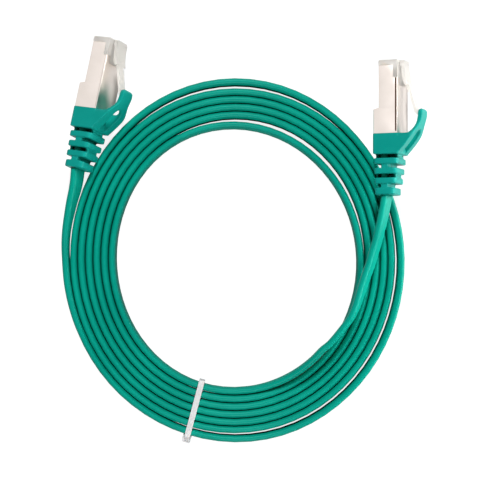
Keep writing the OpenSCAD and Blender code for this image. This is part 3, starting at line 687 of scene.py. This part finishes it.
# ------------------------------------------------------------------ cable


def bump(at, middle, reach):
    """A smooth hump of height 1 about a middle, which ends at its reach."""
    if abs(at - middle) >= reach:
        return 0
    return math.cos(math.radians(90 * (at - middle) / reach)) ** 2


def coil_radius(turn):
    """Radius of the coil at a turned angle: oval, closer by a pitch every turn, with its bows."""
    oval = COIL_OVAL * math.cos(math.radians(2 * (COIL_FROM + turn)))
    bows = sum(height * bump(turn, middle, reach) for height, middle, reach in COIL_BOWS)
    return COIL_R - COIL_PITCH * turn / 360 - oval + bows


def on_coil(turn, rise=0.0):
    """A point of the cable's middle on the coil, this far above the coil's middle plane."""
    x, y = on_circle((COIL_X, COIL_Y), coil_radius(turn), COIL_FROM + turn)
    return Vector((x, y, CABLE_W / 2 + rise))


def coil_lean(turn):
    """How far the turns' tops lean outwards: not at all under the tie or at the coil's ends."""
    ends = min((turn - COIL_START) / LEAN_FADE, (COIL_END - turn) / LEAN_FADE, 1)
    from_tie = (COIL_FROM + turn - TIE_ANGLE + 180) % 360 - 180
    return -COIL_LEAN * ends * (1 - bump(from_tie, 0, TIE_FADE))


def exit_point(side):
    """Middle of the cable where it leaves the boot, in millimetres."""
    return PLUG[side] @ Vector((0, 0, CABLE_Z)) / MM


LEFT_SIDE = Vector((COIL_X - COIL_R, COIL_Y, CABLE_W))
OVER_RIGHT = Vector((COIL_X + COIL_R, COIL_Y, 1.5 * CABLE_W))

# Free points of both tails, as (x, y, z, lean)
LEFT_FREE = [
    (6.1, 26.4, 3.4, -24),
    (5.5, 23, 3.55, -20.5),
    (4.6, 19.5, 3.4, -16),
    (3.8, 16, 2.9, -11.5),
    (3, 12.2, 2.1, -7),
    (2.4, 8.4, 1.1, -4.5),
    (2.1, 4.4, 0, -2.5),
]
RIGHT_FREE = [
    (-26.6, -27.9, 0.15, 4),
    (-22.6, -23.1, 0.2, 5),
    (-19.9, -19.5, 0.2, 8),
    (-17.9, -15, 0.1, 12),
    (-16.3, -10, 0.1, 16),
    (-14.9, -5.8, 0.1, 17),
    (-13.5, -1.8, 0.1, 18),
    (-12.1, 3, 0.3, 19),
    (-10.8, 7.8, 1, 19),
    (-9.7, 12.5, 1.9, 20),
    (-8.8, 16.9, 2.35, 21),
]

# Where each tail joins the coil, as (turned angle, rise, lean)
LEFT_JOIN = [(15, 2.5, -1.5), (22.5, 1.6, -1), (30, 0.9, -0.5), (37.5, 0.3, 0)]
RIGHT_JOIN = [
    (7.5, 0.25, 0),
    (15, 1, 0),
    (22.5, 2.2, 0),
    (30, 3.8, 1),
    (37.5, 5.5, 2),
    (44, 6.9, 3),
]
TAIL_STEPS = 4


def smooth_route(route):
    """More points between the route's own, on a curve through them all. Items are (point, lean)."""
    flat = [Vector((*point, lean)) for point, lean in route]
    last = len(flat) - 1
    made = []
    for i in range(last):
        before, a, b, after = flat[max(i - 1, 0)], flat[i], flat[i + 1], flat[min(i + 2, last)]
        for k in range(TAIL_STEPS):
            t = k / TAIL_STEPS
            made.append(0.5 * (2 * a + (b - before) * t
                               + (2 * before - 5 * a + 4 * b - after) * t**2
                               + (3 * a - before - 3 * b + after) * t**3))
    made.append(flat[last])
    return [(Vector(p[:3]), p[3]) for p in made]


def cable_route():
    """The whole cable, from the left boot to the right one, as (point, lean)."""
    left = [(exit_point("left"), -TIP["left"])]
    left += [(LEFT_SIDE + Vector(p[:3]), p[3]) for p in LEFT_FREE]
    left += [(on_coil(turn, rise), lean) for turn, rise, lean in LEFT_JOIN]
    left.append((on_coil(COIL_START), 0))
    right = [(on_coil(COIL_END), 0)]
    right += [(on_coil(COIL_END + turn, rise), lean) for turn, rise, lean in RIGHT_JOIN]
    right += [(OVER_RIGHT + Vector(p[:3]), p[3]) for p in RIGHT_FREE]
    right.append((exit_point("right"), TIP["right"]))
    turns = range(COIL_START + COIL_STEP, COIL_END, COIL_STEP)
    coil = [(on_coil(turn), coil_lean(turn)) for turn in turns]
    return smooth_route(left) + coil + smooth_route(right)


def cable_profile():
    """Section of the flat cable, as (across, through) points: oval edges, and a faint rib over
    each pair."""
    half = CABLE_W / 2 - EDGE_DEPTH
    ends = [math.radians(a) for a in range(-90, 91, EDGE_STEP)]
    flats = [half * (1 - 2 * i / FACE_STEPS) for i in range(1, FACE_STEPS)]
    rib = 2 * math.pi * PAIRS / CABLE_W
    points = []
    for side in (1, -1):
        points += [(side * (half + EDGE_DEPTH * math.cos(a)), side * CABLE_T / 2 * math.sin(a))
                   for a in ends]
        points += [(side * w, side * (CABLE_T / 2 - RIB_RISE * (0.5 + 0.5 * math.cos(rib * w))))
                   for w in flats]
    return points


def section_axes(route, i):
    """Directions across and through the cable at a point of its route."""
    before, after = route[max(i - 1, 0)][0], route[min(i + 1, len(route) - 1)][0]
    ahead = (after - before).normalized()
    left = Vector((-ahead.y, ahead.x, 0)).normalized()
    up = ahead.cross(left)
    a = math.radians(route[i][1])
    return math.cos(a) * up + math.sin(a) * left, math.cos(a) * left - math.sin(a) * up


def under_tie(point):
    """1 where the tie's strap crosses the coil, and less beside it."""
    out_x, out_y = on_circle((0, 0), 1, TIE_ANGLE)
    x, y = point.x - COIL_X, point.y - COIL_Y
    if x * out_x + y * out_y <= 0:
        return 0
    return bump(y * out_x - x * out_y, 0, TIE_REACH)


def make_cable():
    """The cable in one sweep. Its lower edge makes room for the strap, which runs under it."""
    route = cable_route()
    profile = cable_profile()
    middle_z = CABLE_W / 2
    rings = []
    for i, (point, _) in enumerate(route):
        across, through = section_axes(route, i)
        near = under_tie(point)
        ring = []
        for w, t in profile:
            p = point + w * across + t * through
            if p.z < middle_z:
                p.z += STRAP_T * near * (1 - p.z / middle_z)
            ring.append(p)
        rings.append(ring)
    cable = mesh_object("cable", skin(rings), IN_METRES)
    shade_smooth(cable)
    dress(cable, "cable_jacket", "root", "cable_coil", "left_cable_tail", "right_cable_tail")


make_cable()

# ------------------------------------------------------------------ boots


def sleeve(y0, y1, room):
    """The cable's flat round-ended section, wider and higher by this room, along y."""
    w, h = CABLE_W + room, CABLE_T + room
    section = [(x, z + CABLE_Z)
               for x, z in round_rect((-w / 2, -h / 2), (w / 2, h / 2), h / 2, steps=6)]
    return along_y([(y0, section), (y1, section)])


def ring_size(share):
    """Width and height of the relief: share is 0 at the end face and 1 at the body."""
    return [end + share * (root - end) for end, root in zip(END_RING, ROOT_RING)]


def ring_outline(share, inset):
    """Section of a relief ring, drawn in by an inset."""
    w, h = (size - 2 * inset for size in ring_size(share))
    low = inset - BOOT_TOP
    return round_rect((-w / 2, low), (w / 2, low + h + RING_RAISED), RING_CORNER, steps=6)


def relief_ring(y0, y1, share, edge):
    """A flat ring along y with broken edges."""
    return along_y([(y0, ring_outline(share, edge)), (y0 + edge, ring_outline(share, 0)),
                    (y1 - edge, ring_outline(share, 0)), (y1, ring_outline(share, edge))])


def relief():
    """The rings and the webs between them, in turn at the cable's edges and at its faces."""
    solids = [relief_ring(0, END_RING_LEN, 0, END_RING_EDGE)]
    for i in range(1, RING_COUNT + 1):
        y = END_RING_LEN + RING_GAP * i + RING_LEN * (i - 1)
        solids.append(relief_ring(y, y + RING_LEN, (y + RING_LEN) / RELIEF_LEN, RING_EDGE))
    for i in range(RING_COUNT + 1):
        y = END_RING_LEN + i * (RING_GAP + RING_LEN)
        w, h = ring_size(y / RELIEF_LEN)
        low, high = WEB_INSET - BOOT_TOP, h - BOOT_TOP - WEB_INSET
        half = w / 2 - WEB_INSET
        if i % 2 == 0:
            middle = (low + high) / 2
            webs = [((-half, middle - WEB_W / 2), (half, middle + WEB_W / 2))]
        else:
            webs = [((-MID_WEB_W / 2, low), (MID_WEB_W / 2, high)),
                    ((-FACE_WEB_W / 2, low), (FACE_WEB_W / 2, low + WEB_T)),
                    ((-FACE_WEB_W / 2, high - WEB_T), (FACE_WEB_W / 2, high))]
        solids += [block((x0, y - WEB_SUNK, z0), (x1, y + RING_GAP + WEB_SUNK, z1))
                   for (x0, z0), (x1, z1) in webs]
    return solids


def body():
    """The boot's body: a round-cornered block that closes round the plug's rear."""
    half, edge = BOOT_HALF, BODY_EDGE
    outline = round_rect((-half, -BOOT_TOP), (half, BOOT_TOP), BODY_CORNER)
    inset = round_rect((edge - half, edge - BOOT_TOP), (half - edge, BOOT_TOP - edge), BODY_CORNER)
    return along_y([(RELIEF_LEN, inset), (RELIEF_LEN + edge, outline), (BOOT_Y, outline)])


def guard_side():
    """Side view of the guard, (y, z): back from the body to the tip, round tip, then the
    underside, which meets the boot's front face above the body."""
    tip_r = GUARD_T / 2
    tip_y, tip_z = GUARD_END_Y - tip_r, GUARD_BACK_Z - tip_r
    back = curve([(13.5, 4.1), (17.2, 7.6), (22.4, GUARD_BACK_Z), (tip_y, GUARD_BACK_Z)], steps=14)
    nose = [on_circle((tip_y, tip_z), tip_r, a) for a in (60, 30, 0, -30, -60)]
    under = curve([(tip_y, tip_z - tip_r), (24.2, 10.4), (21.0, 9.1), (BOOT_Y, 7.4)], steps=12)
    return back + nose + under + [(BOOT_Y, GUARD_ROOT_Z), (GUARD_REAR_Y, GUARD_ROOT_Z)]


def guard_half_width(y):
    """Half the guard's width at a station: straight at the root, drawn in to a round tip."""
    t = min(max((y - BOOT_Y + TAPER_LEAD) / TAPER_LEN, 0), 1)
    half = GUARD_W / 2 + (GUARD_TIP_W / 2 - GUARD_W / 2) * t * t * (3 - 2 * t)
    end = GUARD_END_Y - y
    corner = GUARD_TIP_CORNER
    if end < corner:
        half -= corner - math.sqrt(max(corner**2 - (corner - end) ** 2, 0))
    return half


def guard_plan():
    """Plan of the guard, (x, y)."""
    count = 40
    stations = [GUARD_PLAN_Y + (GUARD_END_Y - GUARD_PLAN_Y) * i / count for i in range(count + 1)]
    right = [(guard_half_width(y), y) for y in stations]
    return right + [(-x, y) for x, y in reversed(right)]


def guard_slot():
    """The slot that splits the guard's root into two legs, (x, y)."""
    half = GUARD_SLOT_W / 2
    centre = (GUARD_SLOT_X, GUARD_SLOT_END_Y - half)
    rear = [(GUARD_SLOT_X - half, GUARD_REAR_Y), (GUARD_SLOT_X + half, GUARD_REAR_Y)]
    return rear + [on_circle(centre, half, a) for a in range(0, 181, 20)]


def make_boot(side):
    """Boot and latch guard are one moulding."""
    arm = mesh_object("arm", across_x(guard_side(), -GUARD_W / 2, GUARD_W / 2), AS_DRAWN)
    combine(arm, "INTERSECT", up_z(guard_plan(), 0, ABOVE_GUARD))
    cut(arm, up_z(guard_slot(), BOOT_TOP - GUARD_SLOT_DEPTH, ABOVE_GUARD))
    remesh(arm, GUARD_GRAIN, GUARD_PASSES)
    whole = together(body(), taken_apart(arm), *relief())
    boot = mesh_object(f"{side}_boot_moulding", whole, AS_DRAWN)
    remesh(boot, BOOT_GRAIN, 0)
    cut(boot, sleeve(-BORE_PAST, BOOT_Y + BORE_PAST, BORE_ROOM),
        sleeve(CRIMP_ROOM_Y, BOOT_Y + BORE_PAST, CRIMP_ROOM))
    remesh(boot, BOOT_GRAIN, BOOT_PASSES)
    boot.data.transform(PLUG[side])
    shade_smooth(boot)
    dress(boot, "boot_plastic", None, f"{side}_boot", f"{side}_boot_guard")
    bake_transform(boot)


for side in SIDES:
    make_boot(side)

# ------------------------------------------------------------------ plug shells


def shell_outline(low, t=0.0):
    """Section of the shell, or of its inside at a sheet's thickness t: folded round at the
    contact face, cut edges at the latch side."""
    half, high, low = PLUG_W / 2 - t, TOP_Z - t, low + t
    fold = FOLD_R - INSIDE_FOLD * t
    return arcs([(half - CUT_R, high - CUT_R, CUT_R), (CUT_R - half, high - CUT_R, CUT_R),
                 (fold - half, low + fold, fold), (half - fold, low + fold, fold)], steps=5)


def shell_tube(t, front):
    """The shell's outside or, with the sheet's thickness taken off, its inside."""
    return along_y([(BOOT_Y + t, shell_outline(REAR_Z, t)),
                    (STEP_Y - STEP_RUN - t, shell_outline(REAR_Z, t)),
                    (STEP_Y - t, shell_outline(FACE_Z, t)),
                    (front, shell_outline(FACE_Z, t))])


def dimple(x):
    """Round bump pressed out of the contact face."""
    levels, around = 6, 24
    sphere_r = (DIMPLE_R**2 + DIMPLE_RISE**2) / (2 * DIMPLE_RISE)
    rings = []
    for i in range(levels):
        a = math.asin(DIMPLE_R / sphere_r) * (1 - i / levels)
        r = sphere_r * math.sin(a)
        z = FACE_Z - DIMPLE_RISE + sphere_r * (1 - math.cos(a))
        rings.append([(*on_circle((x, DIMPLE_Y), r, 360 * k / around), z) for k in range(around)])
    under = [(px, py, FACE_Z + SHEET_T / 2) for px, py, _ in rings[0]]
    return skin([under] + rings)


def shell_openings(side):
    """What is cut out of the shell: its inside, the front's openings, notches and seams."""
    half, past = PLUG_W / 2, SHEET_PAST
    inner_x = half - SHEET_T
    front, above = SHELL_Y + past, TOP_Z + past
    openings = [
        shell_tube(SHEET_T, front),
        block((-inner_x, NOTCH_Y, TOP_Z - 2 * SHEET_T), (inner_x, front, above)),
        block((-PLATE_CUT_W / 2, PLATE_CUT_Y, TOP_Z - 2 * SHEET_T),
              (PLATE_CUT_W / 2, front, above)),
        block((past - inner_x, WINDOW_Y, FACE_Z - past),
              (inner_x - past, front, FACE_Z + 2 * SHEET_T)),
    ]
    openings += [block((x, NOTCH_Y, TOP_Z - NOTCH_H), (x + 2 * past, front, above))
                 for x in (-half - past, half - past)]
    openings += [block((x, BOOT_Y + 2 * SHEET_T, TOP_Z - SHEET_T - SEAM_W[side]),
                       (x + SHEET_T + past, NOTCH_Y, TOP_Z - SHEET_T))
                 for x in (-half - past, inner_x)]
    return openings


def seam_shade_strips():
    """Thin strips behind both seams, in dull dark brown: painted shade of the seam gaps."""
    inner_x = PLUG_W / 2 - SHEET_T
    low, high = TOP_Z - 4 * SHEET_T, TOP_Z - SHEET_T - SHADE_STRIP_GAP_Z
    rear, front = BOOT_Y + 2 * SHEET_T, NOTCH_Y - SHADE_STRIP_GAP_Y
    return together(*[block((x, rear, low), (x + SHADE_STRIP_T, front, high))
                      for x in (-inner_x, inner_x - SHADE_STRIP_T)])


def make_shell(side):
    """Sheet-metal shell, open at the front, with its crimp on the cable inside the boot."""
    name = f"{side}_plug_shell_sheet"
    shell = mesh_object(name, shell_tube(0, SHELL_Y), AS_DRAWN)
    cut(shell, *shell_openings(side))
    crimp = mesh_object("crimp", sleeve(CRIMP_Y, BOOT_Y + CRIMP_LAP, 2 * CRIMP_WALL), AS_DRAWN)
    bore = sleeve(CRIMP_Y - BORE_PAST, BOOT_Y + BORE_PAST, BORE_ROOM)
    cut(crimp, bore)
    cut(shell, bore)
    break_edges(shell, SHEET_EDGE, angle=50)
    bake_modifiers(shell)
    plated = together(taken_apart(shell), taken_apart(crimp),
                      dimple(-PLUG_W / 4), dimple(PLUG_W / 4))
    shell = mesh_object(name, together(plated, seam_shade_strips()), PLUG[side])
    shade_smooth(shell, angle=35)
    dress(shell, "shell_metal", "root", f"{side}_plug_shell")
    # The strips behind the seams take the dark brown: painted shade of the seam gaps
    shell.data.materials.append(SEAM_SHADE_BROWN)
    for polygon in shell.data.polygons:
        if polygon.index >= len(plated[1]):
            polygon.material_index = 1


for side in SIDES:
    make_shell(side)

# ------------------------------------------------------------------ CAD nodes kept

# How far the edges of each kind of CAD node are broken
EDGE = {"clear_plastic": 0.07, "tie_nylon": 0.35, "gold_plate": 0.03, "tinned_copper": 0.02}
WELD = 0.001
SAME_POINT = 0.002


def soften_edges(piece, width):
    """Breaks the edges of a CAD node's piece by this width."""
    weld = piece.modifiers.new("weld", "WELD")
    weld.merge_threshold = WELD * MM
    break_edges(piece, width * MM, angle=30).harden_normals = True


def wire_islands(mesh):
    """The polygons of each separate wire in a pair's mesh."""
    keys = {}
    owner = list(range(len(mesh.vertices)))

    def root(i):
        while owner[i] != i:
            owner[i] = owner[owner[i]]
            i = owner[i]
        return i

    for v in mesh.vertices:
        key = tuple(round(c / (SAME_POINT * MM)) for c in v.co)
        owner[root(v.index)] = root(keys.setdefault(key, v.index))
    for polygon in mesh.polygons:
        for i in polygon.vertices:
            owner[root(i)] = root(polygon.vertices[0])
    groups = {}
    for polygon in mesh.polygons:
        groups.setdefault(root(polygon.vertices[0]), []).append(polygon)
    return list(groups.values())


def dress_cad_node(name, slot):
    """Gives a CAD node that is still shown its material and broken edges. The first wire of a
    pair is the white one."""
    piece = frame["nodes"][name]
    if piece.hide_render:
        return
    piece.data.materials.clear()
    piece.data.materials.append(MATERIALS[slot])
    colour = slot.removesuffix("_insulation")
    if colour in MATE_STRIPES:
        piece.data.materials.append(MATE_STRIPES[colour])
        for polygon in wire_islands(piece.data)[0]:
            polygon.material_index = 1
    if slot in EDGE:
        soften_edges(piece, EDGE[slot])


for part in frame["record"]["subparts"]:
    dress_cad_node(part["node"], part["material_slot"])
